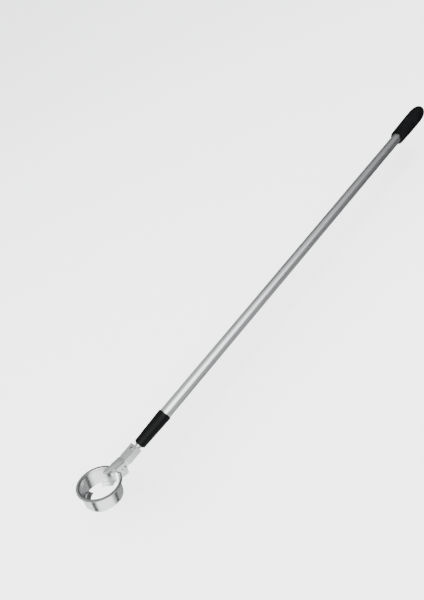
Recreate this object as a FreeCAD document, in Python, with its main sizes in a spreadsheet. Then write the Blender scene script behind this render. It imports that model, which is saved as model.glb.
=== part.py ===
import FreeCAD, Part
import Sketcher
import math
import os

# Telescopic golf ball retriever with a hinged ring cup, drawn closed up.
# The pole lies along X: the butt of the grip is at the origin and the cup is at -X.
# +Z is the side of the pole that the cup opens towards, and XZ is the plane of symmetry.
# Distances named "..._x" below are measured along the pole from the butt, in millimetres.

SIZES = [
    # grip
    ("grip_length", 79.0, "length of the rubber grip"),
    ("grip_mouth_wall", 3.6, "rubber round the tube at the grip's open end"),
    ("grip_swell_wall", 4.6, "rubber round the tube where the grip is thickest"),
    ("grip_end_diameter", 14.0, "flat at the butt of the grip"),
    ("grip_shoulder_length", 21.0, "from the thickest part to the butt"),
    ("grip_end_wall", 5.0, "rubber behind the tube"),
    ("grip_lip_round", 1.4, "round on the grip's open end"),
    # pole
    ("outer_tube_diameter", 16.0, "outside of the outer tube"),
    ("outer_tube_wall", 0.7, "wall of the outer tube"),
    ("outer_tube_length", 672.0, "length of the outer tube"),
    ("middle_tube_diameter", 12.0, "outside of the middle tube"),
    ("middle_tube_wall", 0.6, "wall of the middle tube"),
    ("inner_tube_diameter", 9.0, "outside of the inner tube"),
    ("inner_tube_wall", 0.6, "wall of the inner tube"),
    ("plug_flange", 1.5, "flange of the butt plug, behind the tube"),
    ("plug_length", 12.0, "part of the butt plug inside the tube"),
    ("stop_gap", 0.5, "gap left at each end stop"),
    ("running_gap", 0.03, "radial clearance of a tube in its guide"),
    ("bush_gap", 0.07, "radial clearance of a rear bush in its tube"),
    ("rear_bush_length", 60.0, "length of each rear bush"),
    ("rear_bush_wall", 2.0, "closed end of each rear bush"),
    ("nest_gap", 5.0, "from the middle section's pin to the inner section"),
    ("bush_pin_diameter", 2.0, "cross pins through the rear bushes"),
    ("bush_pin_setback", 6.0, "from the bush's closed end to its pin"),
    ("leaf_length", 36.0, "length of a friction leaf spring"),
    ("leaf_width", 3.0, "width of a friction leaf spring"),
    ("leaf_place_share", 0.55, "middle of a leaf, as a share of its bush's length"),
    ("recess_overrun", 1.0, "how far a recess is cut past the bush's outside"),
    ("leaf_thickness", 0.3, "thickness of a friction leaf spring"),
    ("leaf_seat", 0.12, "rubbing face of a leaf, short of the tube's wall"),
    # collar
    ("collar_length", 48.8, "length of the tapered collar"),
    ("collar_wide_wall", 1.2, "collar outside the outer tube"),
    ("collar_narrow_wall", 1.15, "collar outside its bearing ring"),
    ("collar_overlap", 7.0, "length of collar over the outer tube"),
    ("collar_clearance", 0.3, "radial gap between collar and middle tube"),
    ("collar_round_share", 0.5, "round on the collar's two ends, as a share of its front wall"),
    ("bearing_length", 8.0, "bearing ring in the collar's front end"),
    ("bearing_thickness", 0.5, "wall of the bearing ring"),
    ("nose_length", 20.0, "front bush inside the middle tube"),
    ("nose_flange", 1.2, "flange of the front bush"),
    # neck and stem
    ("neck_length", 4.3, "from the collar's front end to the stem"),
    ("neck_flange", 0.75, "full width part of the neck, in front of the inner tube"),
    ("neck_step", 0.6, "bare part of the neck, inside the inner tube's radius"),
    ("spigot_length", 22.0, "neck plug inside the inner tube"),
    ("tang_length", 17.0, "neck plug inside the stem"),
    ("sheet", 1.2, "sheet metal of stem and cup"),
    ("stem_half_width", 6.2, "half the width of the stem's channel"),
    ("stem_top", 7.0, "height of the stem's front face at its edges"),
    ("stem_bottom", -4.0, "lower edge of the stem's sides"),
    ("stem_length", 20.6, "length of the full width channel"),
    ("ridge_height", 1.0, "rise of the fold along the stem"),
    ("flat_rise", 0.02, "rise at the middle of the stem where it has no fold"),
    ("ridge_start", 10.0, "from the stem's pole end to where the fold begins"),
    ("finger_half_width", 5.3, "half the width of the finger at its root"),
    ("finger_tip_half_width", 3.5, "half the width of the finger near its tip"),
    ("finger_reach", 26.4, "from the stem's step to the tip, along the pole"),
    ("finger_angle", 17.8, "bend of the finger, degrees"),
    ("finger_point", 1.9, "length of the pointed tip"),
    ("gusset_end", 4.0, "from the tip to where the sides start"),
    ("gusset_root", 11.6, "from the step to where the sides begin to taper"),
    ("rivet_diameter", 3.0, "shank of both rivets"),
    ("rivet_hole_diameter", 1.9, "hole through the stem rivet"),
    ("stem_rivet_head", 5.6, "rolled head of the stem rivet"),
    ("stem_rivet_rise", 0.9, "height of the rolled head"),
    ("stem_rivet_setback", 5.0, "from the stem's pole end to the rivet"),
    ("washer_diameter", 7.0, "washer under the stem rivet's rolled end"),
    ("washer_thickness", 0.6, "washer under the stem rivet's rolled end"),
    # hinge
    ("hinge_setback", 32.9, "from the collar's front end to the hinge"),
    ("hinge_height", -0.9, "height of the hinge, from the pole's axis"),
    ("hinge_head_diameter", 6.8, "flat heads of the hinge rivet"),
    ("hinge_head_thickness", 1.0, "flat heads of the hinge rivet"),
    ("hinge_head_round_share", 0.45, "round on those heads, as a share of their thickness"),
    ("hinge_gap", 0.05, "radial clearance of the rivet in the ears"),
    ("side_gap", 0.15, "gap between faces that slide past each other"),
    ("spacer_wall", 0.75, "wall of the spacer round the hinge rivet"),
    ("spring_wire", 0.8, "wire of the torsion spring"),
    ("spring_bend_share", 1.5, "radius of the hook's bend, as a share of the wire"),
    ("spring_turns", 4.0, "coils of the torsion spring"),
    ("spring_pitch", 1.0, "pitch of the torsion spring"),
    ("spring_slack", 0.3, "gap between spacer and coil"),
    ("spring_leg", 13.0, "length of the leg under the finger"),
    ("spring_leg_angle", 44.0, "rise of that leg from the pole's line"),
    ("spring_hook_angle", 225.0, "way from the hinge to the hooked end, in the cup's frame"),
    ("spring_hook_reach", 8.5, "length of the leg to the ear"),
    ("spring_hole_gap", 0.3, "gap round the hook in its hole"),
    # cup
    ("cup_tilt", 24.2, "cup's axis, leaning towards the grip, degrees"),
    ("cup_throat_diameter", 45.2, "inside of the cup under its rim"),
    ("cup_foot_diameter", 44.0, "inside of the cup above its tabs"),
    ("cup_height", 26.0, "height of the cup"),
    ("rim_diameter", 53.8, "outside of the cup's turned out rim"),
    ("rim_droop", 0.4, "how far the rim's edge hangs down"),
    ("rim_bend", 2.0, "outer radius of the rim's bend"),
    ("tab_count", 4.0, "tabs turned in at the foot"),
    ("tab_angle", 44.0, "width of each tab, degrees"),
    ("tab_reach", 5.8, "length of each tab, from the cup's inside"),
    ("foot_bend", 2.2, "outer radius of the tabs' bend"),
    ("hinge_reach", 32.1, "from the cup's axis to the hinge"),
    ("hinge_above_rim", 1.1, "hinge, above the rim's plane"),
    ("ear_root", 22.0, "inner end of the ears, from the cup's axis"),
    ("ear_end", 35.5, "outer end of the ears, from the cup's axis"),
    ("ear_foot", -9.6, "lower edge of the ears, from the rim's plane"),
    ("ear_top_root", 8.0, "upper edge of the ears at the cup"),
    ("ear_top_end", 11.2, "upper edge of the ears at their outer end"),
    ("ear_clearance", 0.2, "gap between the finger's sides and the ears"),
    ("ear_round", 1.5, "round on the ears' corners"),
]

doc = FreeCAD.newDocument("GolfBallRetriever")
sheet = doc.addObject("Spreadsheet::Sheet", "Sizes")
for row, (alias, value, meaning) in enumerate(SIZES, start=1):
    sheet.set(f"A{row}", meaning)
    sheet.set(f"B{row}", str(value))
    sheet.setAlias(f"B{row}", alias)
doc.recompute()


SAME_PLACE = 0.01  # mm, mm2 or mm3 below which two measures count as equal


def size(alias):
    """The value of one cell of the sheet, as a plain number."""
    return float(getattr(sheet, alias))


class Formula:
    """An expression on the sheet's cells, written with ordinary operators."""

    def __init__(self, text):
        self.text = text

    def _join(self, sign, left, right):
        return Formula(f"({left} {sign} {right})")

    def __add__(self, other):
        return self._join("+", self, other)

    def __sub__(self, other):
        return self._join("-", self, other)

    def __mul__(self, other):
        return self._join("*", self, other)

    def __truediv__(self, other):
        return self._join("/", self, other)

    def __radd__(self, other):
        return self._join("+", other, self)

    def __rsub__(self, other):
        return self._join("-", other, self)

    def __rmul__(self, other):
        return self._join("*", other, self)

    def __neg__(self):
        return Formula(f"(-1 * {self})")

    def __str__(self):
        return self.text


def cell(alias):
    return Formula(f"Sizes.{alias}")


def cosine(alias):
    return Formula(f"cos(Sizes.{alias} * 1deg)")


def sine(alias):
    return Formula(f"sin(Sizes.{alias} * 1deg)")


# ---------------------------------------------------------------- stations along the pole
OUTER_RADIUS = cell("outer_tube_diameter") / 2
OUTER_BORE = OUTER_RADIUS - cell("outer_tube_wall")
MIDDLE_RADIUS = cell("middle_tube_diameter") / 2
MIDDLE_BORE = MIDDLE_RADIUS - cell("middle_tube_wall")
INNER_RADIUS = cell("inner_tube_diameter") / 2
INNER_BORE = INNER_RADIUS - cell("inner_tube_wall")

TUBE_REAR_X = -(cell("grip_end_wall") + cell("plug_flange"))
TUBE_FRONT_X = TUBE_REAR_X - cell("outer_tube_length")
COLLAR_REAR_X = TUBE_FRONT_X + cell("collar_overlap")
COLLAR_FRONT_X = COLLAR_REAR_X - cell("collar_length")
PLUG_FRONT_X = TUBE_REAR_X - cell("plug_length")
MIDDLE_BUSH_X = PLUG_FRONT_X - cell("stop_gap")
MIDDLE_PIN_X = MIDDLE_BUSH_X - cell("bush_pin_setback")
INNER_BUSH_X = MIDDLE_PIN_X - cell("nest_gap")
INNER_PIN_X = INNER_BUSH_X - cell("bush_pin_setback")
NOSE_FRONT_X = COLLAR_FRONT_X - cell("nose_flange")
STEM_REAR_X = COLLAR_FRONT_X - cell("neck_length")
STEM_STEP_X = STEM_REAR_X - cell("stem_length")
STEM_RIVET_X = STEM_REAR_X - cell("stem_rivet_setback")
HINGE_X = COLLAR_FRONT_X - cell("hinge_setback")
RIVET_RADIUS = cell("rivet_diameter") / 2


# ---------------------------------------------------------------- how pieces are drawn
def origin_plane(body, role):
    """One of a body's own origin planes or axes, by its role."""
    for feature in body.Origin.OriginFeatures:
        if feature.Role == role:
            return feature
    raise RuntimeError(f"{body.Label} has no {role}")


def new_body(label):
    body = doc.addObject("PartDesign::Body", label)
    body.Label = label
    return body


def outline(body, name, role, corners, offset=None):
    """A closed sketch of straight lines; each corner is a pair of expressions on the sheet."""
    sketch = body.newObject("Sketcher::SketchObject", name)
    sketch.AttachmentSupport = [(origin_plane(body, role), "")]
    sketch.MapMode = "FlatFace"
    if offset is not None:
        sketch.setExpression("AttachmentOffset.Base.z", str(offset))
    count = len(corners)
    start = [FreeCAD.Vector(math.cos(turn), math.sin(turn), 0)
             for turn in (2 * math.pi * step / count for step in range(count))]
    for index in range(count):
        sketch.addGeometry(Part.LineSegment(start[index], start[(index + 1) % count]), False)
    for index in range(count):
        sketch.addConstraint(Sketcher.Constraint("Coincident", index, 2, (index + 1) % count, 1))
    for index, pair in enumerate(corners):
        for kind, value, place in zip(("DistanceX", "DistanceY"), pair, start[index]):
            number = sketch.addConstraint(Sketcher.Constraint(kind, -1, 1, index, 1, place))
            sketch.setExpression(f"Constraints[{number}]", str(value))
    doc.recompute()
    return sketch


def turned(label, corners):
    """A piece turned about the pole's axis, from (distance along X, radius) corners."""
    body = new_body(label)
    sketch = outline(body, label + "_profile", "XZ_Plane", corners)
    turn = body.newObject("PartDesign::Revolution", label + "_turn")
    turn.Profile = sketch
    turn.ReferenceAxis = (sketch, ["H_Axis"])
    turn.Angle = 360.0
    doc.recompute()
    return body


def sleeve(label, rear, front, outside, inside):
    """A plain tube between two stations."""
    return turned(label, [(rear, inside), (rear, outside), (front, outside), (front, inside)])


def round_edges(body, radius, wanted):
    """Fillet the circular edges of a turned piece that are at the wanted (x, radius) places."""
    doc.recompute()
    found = []
    for index, edge in enumerate(body.Tip.Shape.Edges, start=1):
        if not isinstance(edge.Curve, Part.Circle):
            continue
        for x, circle_radius in wanted:
            near_x = abs(edge.Curve.Center.x - x) < SAME_PLACE
            if near_x and abs(edge.Curve.Radius - circle_radius) < SAME_PLACE:
                found.append(f"Edge{index}")
    if not found:
        raise RuntimeError(f"{body.Label}: no edges to round")
    base = body.Tip
    fillet = body.newObject("PartDesign::Fillet", body.Label + "_round")
    fillet.Base = (base, found)
    fillet.setExpression("Radius", str(radius))
    doc.recompute()


def cut_block(body, name, role, corners, length, both_ways=False, offset=None, add=False):
    """Pad or pocket a straight-sided outline, and make sure that the volume changed."""
    before = body.Shape.Volume
    sketch = outline(body, name + "_outline", role, corners, offset)
    feature = body.newObject("PartDesign::Pad" if add else "PartDesign::Pocket", name)
    feature.Profile = sketch
    feature.setExpression("Length", str(length))
    feature.Midplane = both_ways
    doc.recompute()
    change = body.Shape.Volume - before
    if abs(change) < SAME_PLACE or (change > 0) != add:
        raise RuntimeError(f"{body.Label}: {name} changed nothing")
    return feature


def number(formula):
    """The value of a formula, read through a scratch cell of the sheet."""
    sheet.set("D1", "=" + str(formula).replace("Sizes.", ""))
    sheet.recompute()
    value = float(sheet.get("D1"))
    sheet.clear("D1")
    return value


def drill(body, name, role, across, up, diameter, length=None, offset=None):
    """A round hole square to one of the origin planes; right through unless a length is given."""
    before = body.Shape.Volume
    sketch = body.newObject("Sketcher::SketchObject", name + "_circle")
    sketch.AttachmentSupport = [(origin_plane(body, role), "")]
    sketch.MapMode = "FlatFace"
    if offset is not None:
        sketch.setExpression("AttachmentOffset.Base.z", str(offset))
    circle = Part.Circle(FreeCAD.Vector(1, 1, 0), FreeCAD.Vector(0, 0, 1), 1)
    sketch.addGeometry(circle, False)
    for kind, value in (("DistanceX", across), ("DistanceY", up)):
        place = sketch.addConstraint(Sketcher.Constraint(kind, -1, 1, 0, 3, 1.0))
        sketch.setExpression(f"Constraints[{place}]", str(value))
    wide = sketch.addConstraint(Sketcher.Constraint("Diameter", 0, 2.0))
    sketch.setExpression(f"Constraints[{wide}]", str(diameter))
    pocket = body.newObject("PartDesign::Pocket", name)
    pocket.Profile = sketch
    if length is None:
        pocket.Type = "ThroughAll"
        pocket.Midplane = True
    else:
        pocket.setExpression("Length", str(length))
    doc.recompute()
    if before - body.Shape.Volume < SAME_PLACE:
        raise RuntimeError(f"{body.Label}: {name} cut nothing")


def round_corners(body, radius, places):
    """Fillet the straight edges along Y that stand at the wanted (x, z) places of a body."""
    doc.recompute()
    found = []
    for index, edge in enumerate(body.Tip.Shape.Edges, start=1):
        if not isinstance(edge.Curve, Part.Line):
            continue
        along = edge.Vertexes[0].Point - edge.Vertexes[-1].Point
        if abs(along.x) > SAME_PLACE or abs(along.z) > SAME_PLACE:
            continue
        spot = edge.Vertexes[0].Point
        if any(abs(spot.x - x) < SAME_PLACE and abs(spot.z - z) < SAME_PLACE for x, z in places):
            found.append(f"Edge{index}")
    if not found:
        raise RuntimeError(f"{body.Label}: no corners to round")
    base = body.Tip
    fillet = body.newObject("PartDesign::Fillet", body.Label + "_corners")
    fillet.Base = (base, found)
    fillet.setExpression("Radius", str(radius))
    doc.recompute()


def feature(label, shape):
    piece = doc.addObject("Part::Feature", label)
    piece.Label = label
    piece.Shape = shape
    return piece


# ---------------------------------------------------------------- grip and outer tube
GRIP_MOUTH = OUTER_RADIUS + cell("grip_mouth_wall")
GRIP_SWELL = OUTER_RADIUS + cell("grip_swell_wall")
GRIP_END = cell("grip_end_diameter") / 2


def shoulder_points(count):
    """An even curve from the thickest part of the grip down to its flat butt."""
    points = []
    for step in range(count + 1):
        turn = math.pi / 2 * step / count
        points.append((cell("grip_shoulder_length") * (math.sin(turn) - 1),
                       GRIP_END + (GRIP_SWELL - GRIP_END) * math.cos(turn)))
    return points


grip = turned("grip", [
    (-cell("grip_length"), OUTER_RADIUS),
    (-cell("grip_length"), GRIP_MOUTH),
    *shoulder_points(12),
    (Formula("0"), Formula("0")),
    (-cell("grip_end_wall"), Formula("0")),
    (-cell("grip_end_wall"), OUTER_RADIUS),
])
round_edges(grip, cell("grip_lip_round"), [(-size("grip_length"), number(GRIP_MOUTH))])

butt_plug = turned("butt_plug", [
    (TUBE_REAR_X + cell("plug_flange"), Formula("0")),
    (TUBE_REAR_X + cell("plug_flange"), OUTER_RADIUS),
    (TUBE_REAR_X, OUTER_RADIUS),
    (TUBE_REAR_X, OUTER_BORE),
    (PLUG_FRONT_X, OUTER_BORE),
    (PLUG_FRONT_X, Formula("0")),
])
outer_tube = sleeve("outer_tube", TUBE_REAR_X, TUBE_FRONT_X, OUTER_RADIUS, OUTER_BORE)

BEARING_BORE = MIDDLE_RADIUS + cell("running_gap")
BEARING_OUTSIDE = BEARING_BORE + cell("bearing_thickness")
BEARING_REAR_X = COLLAR_FRONT_X + cell("bearing_length")
COLLAR_BORE = MIDDLE_RADIUS + cell("collar_clearance")
COLLAR_WIDE = OUTER_RADIUS + cell("collar_wide_wall")
COLLAR_NARROW = BEARING_OUTSIDE + cell("collar_narrow_wall")
tube_collar = turned("tube_collar", [
    (COLLAR_REAR_X, OUTER_RADIUS),
    (COLLAR_REAR_X, COLLAR_WIDE),
    (COLLAR_FRONT_X, COLLAR_NARROW),
    (COLLAR_FRONT_X, BEARING_OUTSIDE),
    (BEARING_REAR_X, BEARING_OUTSIDE),
    (BEARING_REAR_X, COLLAR_BORE),
    (TUBE_FRONT_X, COLLAR_BORE),
    (TUBE_FRONT_X, OUTER_RADIUS),
])
round_edges(tube_collar, cell("collar_narrow_wall") * cell("collar_round_share"), [
    (number(COLLAR_REAR_X), number(COLLAR_WIDE)),
    (number(COLLAR_FRONT_X), number(COLLAR_NARROW)),
])
collar_bearing = sleeve("collar_bearing", BEARING_REAR_X, COLLAR_FRONT_X, BEARING_OUTSIDE,
                        BEARING_BORE)


# ---------------------------------------------------------------- sliding sections
def rear_bush(label, rear, outside, bore):
    """A bush on the rear end of a sliding tube, closed behind it."""
    front = rear - cell("rear_bush_length")
    seat = rear - cell("rear_bush_wall")
    return turned(label, [(rear, Formula("0")), (rear, outside), (front, outside),
                          (front, bore), (seat, bore), (seat, Formula("0"))])


def leaf_pocket(bush, label, middle, floor, top):
    """The long recess on top of a rear bush in which its leaf spring lies."""
    half = cell("leaf_length") / 2 + cell("side_gap")
    corners = [(middle - half, floor), (middle + half, floor), (middle + half, top),
               (middle - half, top)]
    cut_block(bush, label, "XZ_Plane", corners, cell("leaf_width") + 2 * cell("side_gap"),
              both_ways=True)


def leaf_spring(label, middle, floor, bore):
    """A bowed strip whose crown rubs on the tube outside it."""
    half = size("leaf_length") / 2
    thickness = size("leaf_thickness")
    width = size("leaf_width")
    crown = math.sqrt(bore ** 2 - (width / 2) ** 2) - size("leaf_seat")
    low = [FreeCAD.Vector(middle + side * half, -width / 2, floor) for side in (-1, 1)]
    high = [point + FreeCAD.Vector(0, 0, thickness) for point in low]
    under = Part.Arc(low[0], FreeCAD.Vector(middle, -width / 2, crown - thickness), low[1])
    over = Part.Arc(high[0], FreeCAD.Vector(middle, -width / 2, crown), high[1])
    ends = [Part.LineSegment(low[1], high[1]), Part.LineSegment(high[0], low[0])]
    wire = Part.Wire([under.toShape(), ends[0].toShape(), over.toShape().reversed(),
                      ends[1].toShape()])
    return feature(label, Part.Face(wire).extrude(FreeCAD.Vector(0, width, 0)))


def cross_pin(label, x, half_length):
    """A straight pin through a rear bush and its tube, along Y."""
    pin = turned(label, [(half_length, Formula("0")),
                         (half_length, cell("bush_pin_diameter") / 2),
                         (-half_length, cell("bush_pin_diameter") / 2),
                         (-half_length, Formula("0"))])
    pin.Placement = FreeCAD.Placement(FreeCAD.Vector(number(x), 0, 0),
                                      FreeCAD.Rotation(FreeCAD.Vector(0, 0, 1), 90))
    pin.setExpression("Placement.Base.x", str(x))
    return pin


def sliding_section(name, rear, front, radius, bore, guide_bore, pin_x):
    """Tube, rear bush, leaf spring and cross pin of one sliding section."""
    outside = guide_bore - cell("bush_gap")
    bush = rear_bush(f"{name}_rear_bush", rear, outside, radius)
    tube = sleeve(f"{name}_tube", rear - cell("rear_bush_wall"), front, radius, bore)
    middle = rear - cell("rear_bush_length") * cell("leaf_place_share")
    floor = radius + cell("side_gap")
    leaf_pocket(bush, f"{name}_leaf_recess", middle, floor,
                outside + cell("recess_overrun"))
    for body, part_name in ((bush, "bush"), (tube, "tube")):
        drill(body, f"{name}_{part_name}_pin_hole", "XZ_Plane", pin_x, Formula("0"),
              cell("bush_pin_diameter"))
    leaf_spring(f"{name}_friction_spring", number(middle), number(floor), number(guide_bore))
    cross_pin(f"{name}_bush_pin", pin_x, outside - cell("bush_gap") * 2)
    return tube


INNER_FRONT_X = NOSE_FRONT_X - cell("stop_gap")
sliding_section("middle", MIDDLE_BUSH_X, COLLAR_FRONT_X, MIDDLE_RADIUS, MIDDLE_BORE, OUTER_BORE,
                MIDDLE_PIN_X)
sliding_section("inner", INNER_BUSH_X, INNER_FRONT_X, INNER_RADIUS, INNER_BORE, MIDDLE_BORE,
                INNER_PIN_X)
NOSE_BORE = INNER_RADIUS + cell("running_gap")
NOSE_REAR_X = COLLAR_FRONT_X + cell("nose_length")
middle_front_bush = turned("middle_front_bush", [
    (NOSE_REAR_X, NOSE_BORE),
    (NOSE_REAR_X, MIDDLE_BORE),
    (COLLAR_FRONT_X, MIDDLE_BORE),
    (COLLAR_FRONT_X, MIDDLE_RADIUS),
    (NOSE_FRONT_X, MIDDLE_RADIUS),
    (NOSE_FRONT_X, NOSE_BORE),
])

# ---------------------------------------------------------------- neck plug and its tang
NECK_RADIUS = INNER_RADIUS - cell("neck_step")
NECK_FLANGE_X = INNER_FRONT_X - cell("neck_flange")
TANG_TOP = cell("stem_top") - cell("sheet")
TANG_BOTTOM = cell("stem_bottom") + cell("side_gap")
neck_plug = turned("neck_plug", [
    (INNER_FRONT_X + cell("spigot_length"), Formula("0")),
    (INNER_FRONT_X + cell("spigot_length"), INNER_BORE),
    (INNER_FRONT_X, INNER_BORE),
    (INNER_FRONT_X, INNER_RADIUS),
    (NECK_FLANGE_X, INNER_RADIUS),
    (NECK_FLANGE_X, NECK_RADIUS),
    (STEM_REAR_X, NECK_RADIUS),
    (STEM_REAR_X, Formula("0")),
])
TANG_HALF = cell("stem_half_width") - cell("sheet")
cut_block(neck_plug, "tang", "YZ_Plane",
          [(-TANG_HALF, TANG_BOTTOM), (TANG_HALF, TANG_BOTTOM), (TANG_HALF, TANG_TOP),
           (-TANG_HALF, TANG_TOP)],
          cell("tang_length"), offset=STEM_REAR_X - cell("tang_length"), add=True)
drill(neck_plug, "tang_rivet_hole", "XY_Plane", STEM_RIVET_X, Formula("0"),
      cell("rivet_diameter"))

# ---------------------------------------------------------------- stem with its finger
finger_rise = math.tan(math.radians(size("finger_angle")))
step_x = number(STEM_STEP_X)
tip_x = step_x - size("finger_reach")
point_x = tip_x + size("finger_point")


def finger_width(x):
    """Half the finger's width: an even taper from the step to the point."""
    share = (step_x - x) / (step_x - point_x)
    return size("finger_half_width") + share * (size("finger_tip_half_width")
                                                - size("finger_half_width"))


def finger_top(x):
    """Height of the finger's edges."""
    return size("stem_top") + (step_x - x) * finger_rise


def ruled(sections):
    """A solid with flat sides through closed outlines at several stations."""
    wires = [Part.makePolygon(points + points[:1]) for points in sections]
    return Part.makeLoft(wires, True, True)


def web_section(x, top, half, ridge):
    thickness = size("sheet")
    outer = [(-half, top), (0, top + ridge), (half, top)]
    inner = [(across, up - thickness) for across, up in reversed(outer)]
    return [FreeCAD.Vector(x, across, up) for across, up in outer + inner]


def side_section(x, top, bottom, half, side):
    thickness = size("sheet")
    across = (side * half, side * (half - thickness))
    return [FreeCAD.Vector(x, across[0], bottom), FreeCAD.Vector(x, across[0], top),
            FreeCAD.Vector(x, across[1], top), FreeCAD.Vector(x, across[1], bottom)]


def make_stem():
    """A folded channel that steps in and bends up into a pointed finger."""
    rear = number(STEM_REAR_X)
    ridge = size("ridge_height")
    flat = size("flat_rise")
    top = size("stem_top")
    bottom = size("stem_bottom")
    wide = size("stem_half_width")
    half_sheet = size("sheet") / 2
    fold_x = rear - size("ridge_start")
    web = [ruled([web_section(rear, top, wide, flat),
                  web_section(fold_x, top, wide, flat),
                  web_section((fold_x + step_x) / 2, top, wide, ridge),
                  web_section(step_x, top, wide, ridge)]),
           ruled([web_section(step_x, top, finger_width(step_x), ridge),
                  web_section(point_x, finger_top(point_x), finger_width(point_x), ridge),
                  web_section(tip_x, finger_top(tip_x), finger_width(point_x) / 2, ridge / 2)])]
    root_x = step_x - size("gusset_root")
    gusset_x = tip_x + size("gusset_end")
    sides = []
    for side in (-1, 1):
        sides.append(ruled([side_section(rear, top - half_sheet, bottom, wide, side),
                            side_section(step_x, top - half_sheet, bottom, wide, side)]))
        joggle = [side_section(x, finger_top(x) - half_sheet, low, finger_width(x), side)
                  for x, low in ((step_x + half_sheet, bottom), (root_x, bottom),
                                 (gusset_x, finger_top(gusset_x) - 3 * half_sheet))]
        sides.append(ruled(joggle))
        step_face = [FreeCAD.Vector(step_x + depth, side * across, height)
                     for depth, across, height in
                     ((0, wide, bottom), (0, wide, top - half_sheet),
                      (0, finger_width(step_x) - size("sheet"), top - half_sheet),
                      (0, finger_width(step_x) - size("sheet"), bottom))]
        cross = Part.Face(Part.makePolygon(step_face + step_face[:1]))
        sides.append(cross.extrude(FreeCAD.Vector(size("sheet"), 0, 0)))
    solid = web[0].multiFuse([web[1]] + sides).removeSplitter()
    radius = number(RIVET_RADIUS)
    hinge = Part.makeCylinder(radius, 4 * wide,
                              FreeCAD.Vector(number(HINGE_X), -2 * wide, size("hinge_height")),
                              FreeCAD.Vector(0, 1, 0))
    rivet = Part.makeCylinder(radius, 2 * top, FreeCAD.Vector(number(STEM_RIVET_X), 0, 0),
                              FreeCAD.Vector(0, 0, 1))
    return solid.cut(hinge).cut(rivet)


stem = feature("stem", make_stem())

WASHER_LOW = TANG_BOTTOM - cell("washer_thickness")
stem_rivet = turned("stem_rivet", [
    (cell("stem_top") + cell("stem_rivet_rise"), cell("rivet_hole_diameter") / 2),
    (cell("stem_top") + cell("stem_rivet_rise"), cell("rivet_diameter") / 2),
    (cell("stem_top") + cell("stem_rivet_rise") / 2, cell("stem_rivet_head") / 2),
    (cell("stem_top") + cell("flat_rise"), cell("stem_rivet_head") / 2),
    (cell("stem_top") + cell("flat_rise"), RIVET_RADIUS),
    (WASHER_LOW, RIVET_RADIUS),
    (WASHER_LOW, cell("stem_rivet_head") / 2),
    (WASHER_LOW - cell("stem_rivet_rise") / 2, cell("rivet_diameter") / 2),
    (WASHER_LOW - cell("stem_rivet_rise") / 2, cell("rivet_hole_diameter") / 2),
])
rivet_washer = sleeve("rivet_washer", TANG_BOTTOM, WASHER_LOW, cell("washer_diameter") / 2,
                      RIVET_RADIUS)
for piece in (stem_rivet, rivet_washer):
    piece.Placement = FreeCAD.Placement(FreeCAD.Vector(number(STEM_RIVET_X), 0, 0),
                                        FreeCAD.Rotation(FreeCAD.Vector(0, 1, 0), -90))
    piece.setExpression("Placement.Base.x", str(STEM_RIVET_X))

# ---------------------------------------------------------------- hinge
EAR_INSIDE = cell("finger_half_width") + cell("ear_clearance")
EAR_OUTSIDE = EAR_INSIDE + cell("sheet")
HEAD_UNDER = EAR_OUTSIDE + cell("side_gap")
HEAD_TOP = HEAD_UNDER + cell("hinge_head_thickness")
HEAD_RADIUS = cell("hinge_head_diameter") / 2
hinge_rivet = turned("hinge_rivet", [
    (HEAD_TOP, Formula("0")),
    (HEAD_TOP, HEAD_RADIUS),
    (HEAD_UNDER, HEAD_RADIUS),
    (HEAD_UNDER, RIVET_RADIUS),
    (-HEAD_UNDER, RIVET_RADIUS),
    (-HEAD_UNDER, HEAD_RADIUS),
    (-HEAD_TOP, HEAD_RADIUS),
    (-HEAD_TOP, Formula("0")),
])
round_edges(hinge_rivet, cell("hinge_head_thickness") * cell("hinge_head_round_share"),
            [(side * number(HEAD_TOP), number(HEAD_RADIUS)) for side in (-1, 1)])
SPACER_RADIUS = RIVET_RADIUS + cell("spacer_wall")
spacer_half = (finger_width(number(HINGE_X - SPACER_RADIUS)) - size("sheet")
               - size("side_gap"))
SPACER_HALF = Formula(str(spacer_half))
hinge_spacer = sleeve("hinge_spacer", SPACER_HALF, -SPACER_HALF, SPACER_RADIUS, RIVET_RADIUS)
for piece in (hinge_rivet, hinge_spacer):
    piece.Placement = FreeCAD.Placement(
        FreeCAD.Vector(number(HINGE_X), 0, size("hinge_height")),
        FreeCAD.Rotation(FreeCAD.Vector(0, 0, 1), 90))
    piece.setExpression("Placement.Base.x", str(HINGE_X))
    piece.setExpression("Placement.Base.z", str(cell("hinge_height")))

tilt = math.radians(size("cup_tilt"))
hook_angle = math.radians(size("spring_hook_angle"))
hook_across = size("spring_hook_reach") * math.cos(hook_angle)
hook_up = size("spring_hook_reach") * math.sin(hook_angle)


def arc_points(centre, first, second, radius, angles):
    """Points on an arc about centre, in the plane of two unit directions."""
    return [centre + first * (radius * math.cos(angle)) + second * (radius * math.sin(angle))
            for angle in angles]


def round_wire(curve, radius, count, sides=10):
    """A wire along a curve, lofted through even-sided outlines that don't twist."""
    first = curve.FirstParameter
    stretch = (curve.LastParameter - first) / count
    sections = []
    side = curve.tangent(first)[0].cross(FreeCAD.Vector(1, 0, 0))
    for step in range(count + 1):
        place = first + step * stretch
        along = curve.tangent(place)[0]
        side = (side - along * side.dot(along)).normalize()
        angles = [2 * math.pi * corner / sides for corner in range(sides)]
        points = arc_points(curve.value(place), side, along.cross(side), radius, angles)
        sections.append(points)
    return ruled(sections)


STEPS_PER_TURN = 16


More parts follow.
